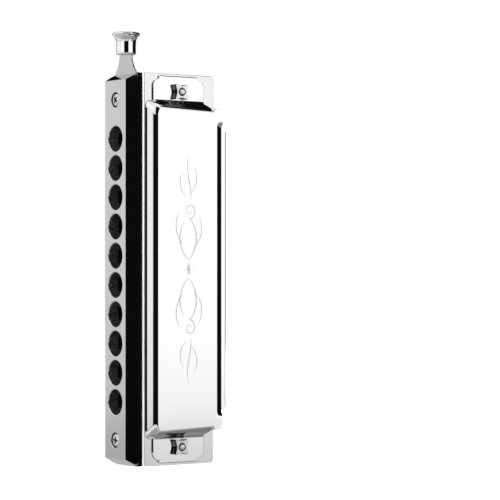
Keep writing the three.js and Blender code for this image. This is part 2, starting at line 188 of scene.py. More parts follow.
def turned(name, profile, axis, centre, segments=64):
    """A turned shape: profile is (radius, station) along the axis, ends on the axis are closed by a fan."""
    cu, cv = centre
    rings, verts = [], []
    for r, a in profile:
        if r < 1e-6:
            rings.append([len(verts)])
            u, v = cu, cv
            verts.append({"x": P(a, u, v), "y": P(u, a, v), "z": P(u, v, a)}[axis])
            continue
        ring = []
        for i in range(segments):
            t = 2 * math.pi * i / segments
            u, v = cu + r * math.cos(t), cv + r * math.sin(t)
            ring.append(len(verts))
            verts.append({"x": P(a, u, v), "y": P(u, a, v), "z": P(u, v, a)}[axis])
        rings.append(ring)
    faces = []
    for a, b in zip(rings, rings[1:]):
        for i in range(segments):
            j = (i + 1) % segments
            if len(a) == 1:
                faces.append((a[0], b[i], b[j]))
            elif len(b) == 1:
                faces.append((a[i], b[0], a[j]))
            else:
                faces.append((a[i], b[i], b[j], a[j]))
    obj = mesh_object(name, verts, faces)
    bm = bmesh.new()
    bm.from_mesh(obj.data)
    bmesh.ops.recalc_face_normals(bm, faces=bm.faces)
    bm.to_mesh(obj.data)
    bm.free()
    return obj


def arc(cu, cv, r, a0, a1, steps):
    return [(cu + r * math.cos(math.radians(a0 + (a1 - a0) * i / steps)), cv + r * math.sin(math.radians(a0 + (a1 - a0) * i / steps))) for i in range(steps + 1)]


def rounded(points, radii, steps=5):
    """A closed outline with its corners rounded by the given radii."""
    out = []
    n = len(points)
    for i, (p, r) in enumerate(zip(points, radii)):
        a, b, c = Vector(points[i - 1]), Vector(p), Vector(points[(i + 1) % n])
        if r <= 0:
            out.append(tuple(b))
            continue
        u, v = (a - b).normalized(), (c - b).normalized()
        half = math.acos(max(-1, min(1, u.dot(v)))) / 2
        cut = min(r / math.tan(half), (a - b).length * 0.49, (c - b).length * 0.49)
        p0, p1 = b + u * cut, b + v * cut
        for k in range(steps + 1):
            t = k / steps
            out.append(tuple((1 - t) ** 2 * p0 + 2 * t * (1 - t) * b + t * t * p1))
    return out


def round_edges(obj, width, segments, choose, angle=30):
    """Rounds the chosen edges; choose is given both ends of an edge in millimetres."""
    bm = bmesh.new()
    bm.from_mesh(obj.data)
    bmesh.ops.remove_doubles(bm, verts=bm.verts, dist=1e-7)
    bmesh.ops.dissolve_limit(bm, angle_limit=math.radians(0.5), verts=bm.verts, edges=bm.edges)
    mm = lambda v: (v.co.x / MM, v.co.y / MM - OFF, v.co.z / MM)
    edges = [e for e in bm.edges if len(e.link_faces) == 2 and e.calc_face_angle(0) > math.radians(angle) and choose(mm(e.verts[0]), mm(e.verts[1]))]
    bmesh.ops.bevel(bm, geom=edges, offset=width * MM, segments=segments, profile=0.5, affect="EDGES", clamp_overlap=True)
    bm.to_mesh(obj.data)
    bm.free()
    return obj


def dress(obj, body, slot_name, *materials, stands_for=()):
    obj.data.materials.clear()
    for m in materials:
        obj.data.materials.append(m)
    if stands_for:
        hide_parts(*stands_for)
    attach(obj, body)
    return obj


# ------------------------------------------------------------------ materials
class Mat:
    """A node material being built; every texture runs on object coordinates, in metres."""

    def __init__(self, name, base, metallic, rough, **sockets):
        self.m = bpy.data.materials.new(name)
        self.m.use_nodes = True
        self.nt = self.m.node_tree
        self.nt.nodes.clear()
        self.out = self.nt.nodes.new("ShaderNodeOutputMaterial")
        self.bsdf = self.nt.nodes.new("ShaderNodeBsdfPrincipled")
        self.nt.links.new(self.bsdf.outputs[0], self.out.inputs["Surface"])
        self.tc = self.nt.nodes.new("ShaderNodeTexCoord")
        self.bsdf.inputs["Base Color"].default_value = (*base, 1)
        self.bsdf.inputs["Metallic"].default_value = metallic
        self.bsdf.inputs["Roughness"].default_value = rough
        for k, v in sockets.items():
            self.bsdf.inputs[k].default_value = v
        self.base = base
        self.normal = None

    def mapped(self, scale):
        n = self.nt.nodes.new("ShaderNodeMapping")
        n.inputs["Scale"].default_value = scale if hasattr(scale, "__len__") else (scale,) * 3
        self.nt.links.new(self.tc.outputs["Object"], n.inputs["Vector"])
        return n.outputs[0]

    def noise(self, scale, detail=3.0, rough=0.55, stretch=None):
        n = self.nt.nodes.new("ShaderNodeTexNoise")
        n.inputs["Scale"].default_value = 1.0
        n.inputs["Detail"].default_value = detail
        n.inputs["Roughness"].default_value = rough
        s = [scale] * 3 if stretch is None else [scale * k for k in stretch]
        self.nt.links.new(self.mapped(s), n.inputs["Vector"])
        return n.outputs["Fac"]

    def remap(self, fac, a, b, lo, hi):
        n = self.nt.nodes.new("ShaderNodeMapRange")
        n.inputs["From Min"].default_value = a
        n.inputs["From Max"].default_value = b
        n.inputs["To Min"].default_value = lo
        n.inputs["To Max"].default_value = hi
        n.clamp = True
        self.nt.links.new(fac, n.inputs["Value"])
        return n.outputs["Result"]

    def math(self, op, a, b):
        n = self.nt.nodes.new("ShaderNodeMath")
        n.operation = op
        for i, v in enumerate((a, b)):
            if isinstance(v, (int, float)):
                n.inputs[i].default_value = v
            else:
                self.nt.links.new(v, n.inputs[i])
        return n.outputs[0]

    def mix(self, fac, a, b):
        n = self.nt.nodes.new("ShaderNodeMix")
        n.data_type = "RGBA"
        self.nt.links.new(fac, n.inputs["Factor"])
        for key, c in (("A", a), ("B", b)):
            socket = [s for s in n.inputs if s.name == key and s.type == "RGBA"][0]
            if hasattr(c, "__len__"):
                socket.default_value = (*c, 1)
            else:
                self.nt.links.new(c, socket)
        return [s for s in n.outputs if s.type == "RGBA"][0]

    def color(self, socket):
        self.nt.links.new(socket, self.bsdf.inputs["Base Color"])

    def roughness(self, socket):
        self.nt.links.new(socket, self.bsdf.inputs["Roughness"])

    def bump(self, height, strength, distance):
        n = self.nt.nodes.new("ShaderNodeBump")
        n.inputs["Strength"].default_value = strength
        n.inputs["Distance"].default_value = distance
        self.nt.links.new(height, n.inputs["Height"])
        if self.normal is not None:
            self.nt.links.new(self.normal, n.inputs["Normal"])
        self.normal = n.outputs[0]
        self.nt.links.new(self.normal, self.bsdf.inputs["Normal"])


def plated(name, tone, rough_lo, rough_hi, wave=0.0, hairline=0.0, along=(1, 1, 1), tint=0.985, painted_cover_shade=False):
    """Polished plating: a slow swell in the surface, cloudy polish, and fine hairlines along one way."""
    m = Mat(name, (tone, tone, tone), 1.0, rough_lo)
    cloud = m.noise(140, 4, 0.6)
    grain = m.noise(2600, 3, 0.6, along)
    r = m.remap(m.math("ADD", m.math("MULTIPLY", cloud, 0.65), m.math("MULTIPLY", grain, 0.35)), 0.34, 0.66, rough_lo, rough_hi)
    m.roughness(r)
    polish = m.mix(m.remap(cloud, 0.35, 0.7, 0, 1), (tone * tint, tone * tint, tone * tint), (tone, tone * 1.001, tone * 1.004))
    if painted_cover_shade:
        # painted shade: the part of the plate under its cover is darkened to near black, standing in for the shade the
        # cover casts
        sep = m.nt.nodes.new("ShaderNodeSeparateXYZ")
        m.nt.links.new(m.tc.outputs["Object"], sep.inputs[0])
        near = m.math("MINIMUM", sep.outputs["Z"], m.math("SUBTRACT", L * MM, sep.outputs["Z"]))
        under_cover_shade = m.math("MULTIPLY", m.remap(near, 10.8 * MM, 11.6 * MM, 0, 1), m.remap(sep.outputs["Y"], (1.2 + OFF) * MM, (1.8 + OFF) * MM, 0, 1))
        polish = m.mix(under_cover_shade, polish, (0.09, 0.09, 0.09))
    m.color(polish)
    if wave:
        m.bump(m.noise(38, 1, 0.4), wave, 0.0004)
    if hairline:
        m.bump(m.noise(5200, 2, 0.5, along), hairline, 0.00002)
    return m.m


def plastic():
    """Moulded black plastic, fine-grained; its front strip against the mouthpiece carries painted shade: its colour is
    darkened there and its specular taken away.
    """
    m = Mat("comb_black_plastic", (0.03, 0.03, 0.031), 0.0, 0.4)
    cloud = m.noise(110, 4, 0.55)
    grain = m.noise(5200, 3, 0.65)
    sep = m.nt.nodes.new("ShaderNodeSeparateXYZ")
    m.nt.links.new(m.tc.outputs["Object"], sep.inputs[0])
    # painted shade: mask of the front strip against the mouthpiece, where the colour goes near black
    nose_shade_mask = m.remap(sep.outputs["Y"], (0.6 + OFF) * MM, (2.0 + OFF) * MM, 1, 0)
    body_tone = m.mix(m.remap(cloud, 0.35, 0.65, 0, 1), (0.028, 0.028, 0.029), (0.037, 0.037, 0.0375))
    m.color(m.mix(nose_shade_mask, body_tone, (0.004, 0.004, 0.004)))
    m.nt.links.new(m.remap(nose_shade_mask, 0, 1, 0.22, 0.01), m.bsdf.inputs["Specular IOR Level"])
    polish = m.remap(m.math("ADD", cloud, m.math("MULTIPLY", grain, 0.4)), 0.45, 0.95, 0.33, 0.46)
    m.roughness(m.math("MAXIMUM", polish, m.math("MULTIPLY", nose_shade_mask, 0.95)))
    m.bump(grain, 0.12, 0.00003)
    m.bump(m.noise(300, 2, 0.5), 0.05, 0.0001)
    return m.m


def sheared():
    """The cut edge of a plated sheet: satin, with fine upright shear marks."""
    m = Mat("plate_sheared_edge", (0.93, 0.93, 0.93), 0.08, 0.42)
    marks = m.noise(2400, 3, 0.6, (0.1, 1, 1))
    m.color(m.mix(m.remap(marks, 0.35, 0.65, 0, 1), (0.90, 0.90, 0.90), (0.97, 0.97, 0.97)))
    m.roughness(m.remap(marks, 0.3, 0.7, 0.36, 0.5))
    m.bump(marks, 0.15, 0.00003)
    return m.m


def brass():
    m = Mat("reed_brass", (0.72, 0.53, 0.24), 1.0, 0.28)
    filing = m.noise(2400, 3, 0.6, (1, 0.05, 1))
    patch = m.noise(420, 3, 0.5)
    m.color(m.mix(m.remap(patch, 0.38, 0.66, 0, 1), (0.60, 0.42, 0.17), (0.80, 0.61, 0.30)))
    m.roughness(m.remap(filing, 0.35, 0.65, 0.2, 0.42))
    m.bump(filing, 0.5, 0.00003)
    return m.m


def valve_film():
    m = Mat("valve_film", (0.05, 0.045, 0.04), 0.0, 0.5)
    fibre = m.noise(1500, 3, 0.5, (1, 0.2, 1))
    m.color(m.mix(fibre, (0.03, 0.027, 0.022), (0.075, 0.066, 0.055)))
    m.roughness(m.remap(fibre, 0.3, 0.7, 0.35, 0.55))
    return m.m


def etched():
    """Lines etched through the polish: a fine frosted metal that scatters the light."""
    m = Mat("etched_line", (0.9, 0.9, 0.9), 1.0, 0.3)
    frost = m.noise(9000, 2, 0.7)
    m.color(m.mix(m.remap(frost, 0.35, 0.65, 0, 1), (0.84, 0.84, 0.845), (0.95, 0.95, 0.95)))
    m.roughness(m.remap(frost, 0.3, 0.7, 0.24, 0.36))
    m.bump(frost, 0.2, 0.00003)
    return m.m


# painted shade: a near-black material standing in for the shade inside the mouthpiece's bores, on the slide inside the
# mouthpiece and on the back plate
def painted_recess_shade():
    m = Mat("port_recess_painted_shade", (0.012, 0.012, 0.013), 0.0, 0.38)
    speck = m.noise(1900, 4, 0.7)
    m.color(m.mix(m.remap(speck, 0.45, 0.7, 0, 1), (0.006, 0.006, 0.006), (0.07, 0.07, 0.07)))
    m.roughness(m.remap(speck, 0.3, 0.7, 0.28, 0.5))
    m.bump(speck, 0.25, 0.00004)
    return m.m


COVER = plated("cover_chrome", 0.93, 0.028, 0.06, wave=0.05, hairline=0.015, along=(1, 0.25, 0.04))
# painted shade: the covers' inner faces are near black, standing in for the shade under the covers
COVER_INSIDE_SHADE = plated("cover_inside_painted_shade", 0.1, 0.3, 0.45, hairline=0.05, along=(1, 0.25, 0.04))
MOUTH = plated("mouthpiece_chrome", 0.67, 0.025, 0.05, wave=0.0, hairline=0.01, along=(1, 1, 0.05))
# the reed plates carry painted shade where their covers hang over them
PLATE = plated("reed_plate_nickel", 0.80, 0.06, 0.11, hairline=0.03, along=(1, 0.06, 1), painted_cover_shade=True)
PLATE_EDGE = sheared()
KNOB_METAL = plated("button_chrome", 0.93, 0.012, 0.03, hairline=0.01, along=(1, 1, 0.2))
STEEL = plated("slide_steel", 0.60, 0.06, 0.13, hairline=0.08, along=(1, 1, 0.04))
SCREW = plated("fastener_chrome", 0.72, 0.04, 0.1, hairline=0.04)
# painted shade for the screws' cross recesses and the nuts' sides
FASTENER_SHADE = plated("fastener_painted_shade", 0.09, 0.2, 0.34, hairline=0.1)
SPRING = plated("spring_wire", 0.60, 0.2, 0.32, hairline=0.06)
COMB = plastic()
BRASS = brass()
FILM = valve_film()
ETCH = etched()
PAINTED_SHADE = painted_recess_shade()

# ------------------------------------------------------------------ covers
def smin(a, b, k):
    h = max(k - abs(a - b), 0) / k
    return min(a, b) - h * h * k / 4


def ramp(a, b, x):
    t = min(max((x - a) / (b - a), 0), 1)
    return t * t * (3 - 2 * t)


def kink(x):
    return 0 if x < -0.2 else x if x > 0.2 else (x + 0.2) ** 2 / 0.8


def lip_drop(y):
    return 1.05 * (kink(y - 23.3) - kink(y - 25.5)) / 2.2 + 0.4 * ramp(26.6, 27.8, y)


def cover_height(y, w):
    """Height of the cover's outer face over the reed plate; w is the distance from the nearer end."""
    top = 3.38 + 0.1296 * (y - 2.95) - ramp(14.6, 16.6, w) * lip_drop(y)
    front = -smin(-1.945 * (y - FRONT_FOOT), -0.035, 0.62)  # the foot flares out onto the plate
    free = ramp(21.9, 22.9, y)  # behind the tab the end wall stands upright
    end = 5.46 + (2.6 + 11.4 * free) * (w - 10.7)
    corner = 0.45 + 1.1 * (y - 1.05) + 0.42 * (w - 9.04)
    shell = smin(top, front, 1.3)
    return smin(smin(shell, corner, 0.6), end, 0.5 + 2.7 * ramp(0.8, 3.4, shell) * (1 - free))


FRONT_FOOT = 0.5  # where the cover's front wall meets the reed plate
BACK_EDGE = [(8.6, 22.35), (9.6, 22.5), (10.2, 22.8), (10.45, 23.7), (10.8, 24.5), (11.6, 25.05), (14.2, 25.35), (16.6, 25.5), (17.3, 26.5), (18.0, 27.1), (61, 27.2)]


def back_edge(w):
    return float(np.interp(w, [p[0] for p in BACK_EDGE], [p[1] for p in BACK_EDGE]))


def tab_edges(w):
    """Front and back edge of the screw tab, with notched and rounded corners."""
    pts = [(0.7, 2.9), (0.74, 2.55), (0.86, 2.32), (1.05, 2.22), (1.66, 2.2), (1.74, 1.98), (1.86, 1.62), (2.05, 1.2), (2.35, 0.75),
           (2.75, 0.36), (3.2, 0.12), (3.7, 0.0), (8.6, 0.0)]
    inset = float(np.interp(w, [p[0] for p in pts], [p[1] for p in pts]))
    return 2.9 + inset, 22.1 - inset


ROUND = 0.17  # rounded edge of the screw tabs


def cover_rows():
    rows = []
    ends = [0.7 + ROUND - ROUND * math.cos(math.radians(a)) for a in (0, 18, 36, 54, 72, 90)]
    tabs = sorted(set([round(w, 4) for w in ends] + [1.0, 1.12, 1.3, 1.5, 1.62, 1.66, 1.70, 1.74, 1.80, 1.86, 1.95, 2.05, 2.2, 2.35, 2.55, 2.75, 2.97, 3.2, 3.45, 3.7] + [4.5, 5.5, 6.3, 6.9, 7.2, 7.4, 7.55, 7.7, 7.85, 8.0, 8.15, 8.3, 8.42]))
    for w in tabs:
        y0, y1 = tab_edges(w)
        rows.append(("tab", w, y0, y1))
    w = 8.5
    while w < 19.2:
        rows.append(("dome", w, None, None))
        w += 0.11 if w < 12.5 else (0.22 if w < 18.6 else 0.4)
    return rows


def end_fillet(y, w):
    """The tab runs up into the end wall through a soft hollow."""
    return -smin(-cover_height(y, w), -TAB, 1.3)


def cover(side, s):
    rows = cover_rows()
    grid = []
    FR, MID, BK = 26, 14, 28  # columns in the front bend, the flat and the back bend
    cols = FR + MID + BK + 1
    for kind, w, y0, y1 in rows:
        line = []
        if kind == "tab":
            edge = [(ROUND - ROUND * math.cos(math.radians(a)), -ROUND + ROUND * math.sin(math.radians(a))) for a in (0, 18, 36, 54, 72, 90)]
            d = max(0.7 + ROUND - w, 0)
            low = -ROUND + math.sqrt(max(ROUND ** 2 - d ** 2, 0)) if d > 0 else 0
            f_end, b_start = y0 + 1.6, y1 - 2.4
            n = len(edge)
            ys = [(y0 + e[0], e[1]) for e in edge] + [(y0 + ROUND + (f_end - y0 - ROUND) * i / (FR - n + 1), 0) for i in range(1, FR - n + 1)]
            ys += [(f_end + (b_start - f_end) * i / MID, 0) for i in range(MID)]
            ys += [(b_start + (y1 - ROUND - b_start) * i / (BK - n + 1), 0) for i in range(BK - n + 1)] + [(y1 - e[0], e[1]) for e in reversed(edge)]
            for y, drop in ys:
                # the hollow fades out towards the tab's side edges
                fade = ramp(0.0, 1.2, min(y - y0, y1 - y))
                rise = (end_fillet(y, w) - TAB) * fade if w > 6.5 else 0
                line.append(((y, w, TAB + min(drop, low) + rise), (y, w, FOOT)))
            grid.append(line)
            continue
        back = back_edge(w)
        front = max(FRONT_FOOT - 0.3, 0.34 + 0.382 * (9.9 - w))
        f_end, b_start = front + 3.3, (22.7 if w > 17.4 else back - 3.4)
        if 15.0 < w <= 17.4:
            t = (w - 15.0) / 2.4
            b_start = (1 - t) * (back - 3.4) + t * 22.7
        ys = [front + (f_end - front) * i / FR for i in range(FR)] + [f_end + (b_start - f_end) * i / MID for i in range(MID)] + [b_start + (back - b_start) * i / BK for i in range(BK + 1)]
        for i, y in enumerate(ys):
            d = 0.01
            h = cover_height(y, w)
            gy = (cover_height(y + d, w) - cover_height(y - d, w)) / (2 * d)
            gw = (cover_height(y, w + d) - cover_height(y, w - d)) / (2 * d)
            n = 1 / math.sqrt(1 + gy * gy + gw * gw)
            if i == 0:
                outer, inner = (y, w, FOOT), (y + 0.5, w + (0.25 if w < 12 else 0), FOOT)
            else:
                lift = h
                if w < 10.5:
                    tab0, tab1 = 2.9, 22.1
                    fade = ramp(0.0, 1.2, min(y - tab0, tab1 - y))
                    if fade > 0:
                        lift = max(h, TAB) + (end_fillet(y, w) - max(h, TAB)) * fade
                    elif y > tab1:
                        lift = max(h, TAB)
                outer = (y, w, max(lift, FOOT + 0.01))
                inner = (max(y + gy * n * SHEET, front + 0.5 + 0.006 * i), w + gw * n * SHEET, max(outer[2] - n * SHEET, FOOT))
            line.append((outer, inner))
        grid.append(line)
    mirrored = [[((o[0], L - o[1], o[2]), (i[0], L - i[1], i[2])) for o, i in line] for line in reversed(grid)]
    # a few stations along the straight middle
    last = grid[-1]
    w_last = last[0][0][1]
    for k in range(1, 9):
        z = w_last + (L - 2 * w_last) * k / 9
        grid.append([((o[0], z, o[2]), (i[0], z, i[2])) for o, i in last])
    grid += mirrored
    R, C = len(grid), cols
    verts = [P(s * (FACE + p[f][2]), p[f][0], p[f][1]) for f in (0, 1) for line in grid for p in line]
    at = lambda r, c, f: f * R * C + r * C + c
    faces = []
    for r in range(R - 1):
        for c in range(C - 1):
            faces.append((at(r, c, 0), at(r, c + 1, 0), at(r + 1, c + 1, 0), at(r + 1, c, 0)))
            faces.append((at(r, c, 1), at(r + 1, c, 1), at(r + 1, c + 1, 1), at(r, c + 1, 1)))
        faces.append((at(r, 0, 0), at(r + 1, 0, 0), at(r + 1, 0, 1), at(r, 0, 1)))
        faces.append((at(r, C - 1, 0), at(r, C - 1, 1), at(r + 1, C - 1, 1), at(r + 1, C - 1, 0)))
    for c in range(C - 1):
        faces.append((at(0, c, 0), at(0, c, 1), at(0, c + 1, 1), at(0, c + 1, 0)))
        faces.append((at(R - 1, c, 0), at(R - 1, c + 1, 0), at(R - 1, c + 1, 1), at(R - 1, c, 1)))
    obj = mesh_object(side + "_cover_shell", verts, faces)
    cutters = [turned("cut", [(0, -9), (1.15, -9), (1.15, 9), (0, 9)], "x", (SCREW_Y, z), 40) for z in SCREW_Z]
    boolean(obj, cutters)
    inside = set()
    for k, f in enumerate(faces):
        if all(i >= R * C for i in f):
            inside.add(k)
    tree_co = [sum((Vector(verts[i]) for i in faces[k]), Vector()) / len(faces[k]) for k in inside]
    shade(obj, 38)
    dress(obj, BODY, "cover_chrome", COVER, COVER_INSIDE_SHADE, stands_for=(side + "_cover",))
    tree = KDTree(len(tree_co))
    for k, co in enumerate(tree_co):
        tree.insert(co, k)
    tree.balance()
    outside = [sum((Vector(verts[i]) for i in f), Vector()) / len(f) for k, f in enumerate(faces) if k not in inside]
    other = KDTree(len(outside))
    for k, co in enumerate(outside):
        other.insert(co, k)
    other.balance()
    # painted shade: the inner faces get the near-black second material
    for poly in obj.data.polygons:
        if tree.find(poly.center)[2] < other.find(poly.center)[2]:
            poly.material_index = 1
    return obj


for side, s in (("top", -1), ("bottom", 1)):
    cover(side, s)

# ------------------------------------------------------------------ mouthpiece
def mouthpiece():
    r = 0.34
    side_dir = Vector((HALF_BACK - HALF_FRONT, MOUTH_BACK - MOUTH_FRONT))
    outline = [(-HALF_BACK, MOUTH_BACK), (-CHANNEL_HALF, MOUTH_BACK), (-CHANNEL_HALF, CHANNEL_FLOOR), (CHANNEL_HALF, CHANNEL_FLOOR),
               (CHANNEL_HALF, MOUTH_BACK), (HALF_BACK, MOUTH_BACK), (HALF_FRONT, MOUTH_FRONT), (-HALF_FRONT, MOUTH_FRONT)]
    outline = rounded(outline, [0, 0, 0, 0, 0, 0, r, r], 6)
    obj = prism("mouthpiece_bar", outline, 0, L, "xy")
    floor = block("floor", -CHANNEL_HALF - 0.05, CHANNEL_HALF + 0.05, CHANNEL_FLOOR - 0.05, MOUTH_BACK, 0, 0.75)
    boolean(obj, [floor], "UNION")
    deep, over = MOUTH_BACK - MOUTH_FRONT, 2.0
    cutters = []
    for end in (0, 1):
        at = (lambda d: L - d) if end else (lambda d: d)
        cutters.append(prism("wedge", [(MOUTH_BACK, at(0)), (MOUTH_FRONT - over, at(2.3 * (1 + over / deep))), (MOUTH_FRONT - over, at(-3)), (MOUTH_BACK, at(-3))], -9, 9, "yz"))
        for sx in (-1, 1):
            cutters.append(prism("ease", [(sx * 9, at(3.2)), (sx * 9, at(-1)), (sx * 4.8, at(-1))], -8, -1.6, "xz"))
    boolean(obj, cutters)
    round_edges(obj, 0.2, 3, lambda a, b: a[1] < MOUTH_BACK - 0.4 or b[1] < MOUTH_BACK - 0.4, 14)
    cutters = []
    for z in HOLE_Z:
        f = 0.42  # rounded mouth of the hole
        prof = [(0, MOUTH_FRONT - 0.5), (HOLE_R + f + 0.02, MOUTH_FRONT - 0.5)]
        prof += [(HOLE_R + f - f * math.sin(math.radians(a)), MOUTH_FRONT + f - f * math.cos(math.radians(a))) for a in range(0, 91, 15)]
        prof += [(HOLE_R, CHANNEL_FLOOR + 0.3), (0, CHANNEL_FLOOR + 0.3)]
        cutters.append(turned("bore", prof, "y", (0, z), 72))
    for z in MOUTH_SCREW_Z:
        g = 0.18
        prof = [(0, MOUTH_FRONT - 0.5), (2.34 + g, MOUTH_FRONT - 0.5)]
        prof += [(2.34 + g - g * math.sin(math.radians(a)), MOUTH_FRONT + g - g * math.cos(math.radians(a))) for a in range(0, 91, 30)]
        prof += [(2.34, MOUTH_FRONT + 0.95), (1.15, MOUTH_FRONT + 0.95), (1.15, CHANNEL_FLOOR + 0.3), (0, CHANNEL_FLOOR + 0.3)]
        cutters.append(turned("counterbore", prof, "y", (0, z), 48))
    boolean(obj, cutters)
    shade(obj, 34)
    dress(obj, BODY, "mouthpiece_chrome", MOUTH, PAINTED_SHADE, stands_for=("mouthpiece",))
    # painted shade: the bores and screw counterbores get the near-black material inside, behind their bright rounded
    # mouths, standing in for the shade within them
    for poly in obj.data.polygons:
        c = poly.center
        x, y, z = c.x / MM, c.y / MM - OFF, c.z / MM
        near = min(math.hypot(x, z - hz) for hz in HOLE_Z)
        screw = min(math.hypot(x, z - sz) for sz in MOUTH_SCREW_Z)
        if (near < HOLE_R + 0.06 and y > MOUTH_FRONT + 0.5) or (screw < 2.36 and y > MOUTH_FRONT + 0.2):
            poly.material_index = 1
    return obj


mouthpiece()

# ------------------------------------------------------------------ slide and button
def slide():
    neck = [(6.3, 121.5), (6.22, 121.75)]
    # concave flare from the wide strip to the waist under the button
    for i in range(1, 15):
        t = i / 14
        neck.append((6.22 - 2.86 * (1 - (1 - t) ** 2.1), 121.75 + 5.85 * t))
    half = [(6.3, 5.9), *neck, (1.5, 127.6), (1.5, 130.4)]
    outline = [(-6.0, 5.6), (6.0, 5.6)] + half + [(-x, z) for x, z in reversed(half)]
    obj = prism("slide_strip", outline, SLIDE_Y[0], SLIDE_Y[1], "xz")
    cutters = []
    for z in HOLE_Z:
        for lo, hi, dz in ((-PORT_OUT, -PORT_IN, 0), (PORT_IN, PORT_OUT, PITCH / 2)):
            pts = rounded([(lo, z + dz - PORT_HALF), (hi, z + dz - PORT_HALF), (hi, z + dz + PORT_HALF), (lo, z + dz + PORT_HALF)], [0.35] * 4, 4)
            cutters.append(prism("port", pts, -4, 0, "xz"))
    for z in MOUTH_SCREW_Z:
        pts = rounded([(-1.15, z - 1.2), (1.15, z - 1.2), (1.15, z + PITCH / 2 + 1.2), (-1.15, z + PITCH / 2 + 1.2)], [1.1] * 4, 6)
        cutters.append(prism("slot", pts, -4, 0, "xz"))
    cutters = [joined("ports", cutters)]
    boolean(obj, cutters)
    lug = block("lug", 2.25, 4.65, SLIDE_Y[0] + 0.1, 2.05, 12.65, 13.2)
    boolean(obj, [lug], "UNION")
    bevel(obj, 0.07, 2, 40)
    baked(obj)
    bm = bmesh.new()
    bm.from_mesh(obj.data)
    bmesh.ops.bisect_plane(bm, geom=bm.verts[:] + bm.edges[:] + bm.faces[:], plane_co=(0, 0, 120.9 * MM), plane_no=(0, 0, 1))
    bm.to_mesh(obj.data)
    bm.free()
    shade(obj, 34)
    dress(obj, SLIDE, "slide_steel", STEEL, PAINTED_SHADE, stands_for=("slide",))
    # painted shade: the strip below the neck, inside the mouthpiece, gets the near-black material
    for poly in obj.data.polygons:
        if poly.center.z < 120.9 * MM:
            poly.material_index = 1
    return obj


def button():
    prof = [(0, 127.8), (2.55, 127.8), (2.8, 127.84), (2.96, 127.96), (3.05, 128.12), (3.08, 128.35)]
    prof += [(3.075, 129.2), (3.07, 130.2), (3.075, 130.8), (3.09, 131.3), (3.13, 131.8), (3.2, 132.25), (3.32, 132.68), (3.49, 133.05), (3.72, 133.4), (3.98, 133.68), (4.2, 133.86), (4.32, 133.98)]
    prof += [(4.375, 134.1), (4.38, 134.22), (4.35, 134.35), (4.28, 134.46), (4.17, 134.55), (4.02, 134.63), (3.8, 134.68), (3.5, 134.7), (3.3, 134.69), (3.18, 134.66), (3.05, 134.64), (1.6, 134.645), (0, 134.65)]
    obj = turned("slide_knob", prof, "z", (0, KNOB_Y), 96)
    boolean(obj, [block("socket", -1.8, 1.8, KNOB_Y - 0.58, KNOB_Y + 0.58, 127, 130.8)])
    shade(obj, 40)
    dress(obj, SLIDE, "button_chrome", KNOB_METAL, stands_for=("slide_button",))
    return obj


slide()
button()

# ------------------------------------------------------------------ screws and nuts
def thread(name, x0, x1, cy, cz, r, pitch=0.4):
    """A threaded shank along x with a closed, chamfered end."""
    seg, steps = 36, max(4, int((x1 - x0) / (pitch / 8)))
    verts, faces = [], []
    for k in range(steps + 1):
        x = x0 + (x1 - x0) * k / steps
        for i in range(seg):
            t = 2 * math.pi * i / seg
            phase = ((x - x0) / pitch - i / seg) % 1.0
            rr = r - 0.11 * abs(2 * phase - 1)
            if x1 - x < 0.25:
                rr = min(rr, r - (0.25 - (x1 - x)) * 0.9)
            verts.append(P(x, cy + rr * math.cos(t), cz + rr * math.sin(t)))
    for k in range(steps):
        for i in range(seg):
            j = (i + 1) % seg
            faces.append((k * seg + i, k * seg + j, (k + 1) * seg + j, (k + 1) * seg + i))
    a, b = len(verts), len(verts) + 1
    verts += [P(x0, cy, cz), P(x1 + 0.02, cy, cz)]
    for i in range(seg):
        j = (i + 1) % seg
        faces.append((a, j, i))
        faces.append((b, steps * seg + i, steps * seg + j))
    return mesh_object(name, verts, faces)


def paint_shade_on(obj, choose):
    """Gives the second material, painted shade, to the faces chosen by their centre, in millimetres, and their normal.
    """
    for poly in obj.data.polygons:
        c = poly.center
        if choose((c.x / MM, c.y / MM - OFF, c.z / MM), poly.normal):
            poly.material_index = 1


def cross_cutter(axis, face, into, centre, half=1.2, wide=0.27, deep=0.6):
    """Two crossed, tapering slots of a cross-head recess; 'into' is the sign of the way into the head."""
    parts = []
    cu, cv = centre
    for turn in (0, 1):
        a, b = (half, wide) if turn == 0 else (wide, half)
        verts = []
        for depth, k in ((-0.8, 1.12), (deep, 0.62)):
            st = face + into * depth
            for su, sv in ((-1, -1), (1, -1), (1, 1), (-1, 1)):
                u, v = cu + su * a * (k if a > b else (k * 0.5 + 0.5)), cv + sv * b * (k if b > a else (k * 0.5 + 0.5))
                verts.append(P(st, u, v) if axis == "x" else P(u, st, v))
        o = mesh_object("slot", verts, [(0, 1, 2, 3), (7, 6, 5, 4), (0, 4, 5, 1), (1, 5, 6, 2), (2, 6, 7, 3), (3, 7, 4, 0)])
        bm = bmesh.new()
        bm.from_mesh(o.data)
        bmesh.ops.recalc_face_normals(bm, faces=bm.faces)
        bm.to_mesh(o.data)
        bm.free()
        parts.append(o)
    return parts


def spin(obj, axis, centre, degrees):
    """Turns a finished mesh about an axis through the given centre."""
    cu, cv = centre
    c = Vector(P(0, cu, cv)) if axis == "x" else Vector(P(cu, 0, cv))
    if axis == "y":
        c.y = 0
    else:
        c.x = 0
    obj.data.transform(Matrix.Translation(c) @ Matrix.Rotation(math.radians(degrees), 4, axis.upper()) @ Matrix.Translation(-c))
    return obj


